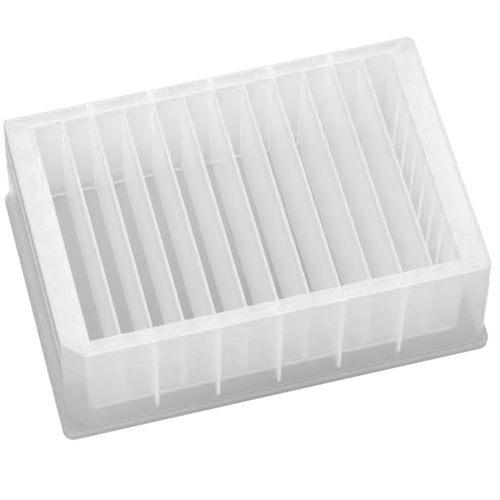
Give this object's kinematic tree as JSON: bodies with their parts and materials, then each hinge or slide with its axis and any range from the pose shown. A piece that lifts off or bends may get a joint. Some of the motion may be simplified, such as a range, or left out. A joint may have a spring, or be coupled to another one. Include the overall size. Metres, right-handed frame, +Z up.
{
  "type": "reagent reservoir",
  "caption": "Open moulded plastic reagent reservoir on a microplate footprint, divided into parallel full-width troughs for multichannel pipettes",
  "frame": {"origin": "centre of the footprint, on the surface that the reservoir stands on", "axes": "X across the troughs, along the long side of the plate; Y along each trough; Z up out of the open mouths"},
  "size_m": [0.1278, 0.0854, 0.044],
  "materials": {
    "translucent_polypropylene": "natural translucent polypropylene, lightly glossy, as moulded"
  },
  "bodies": {
    "root": {"reservoir_body": "translucent_polypropylene"}
  },
  "joints": []
}
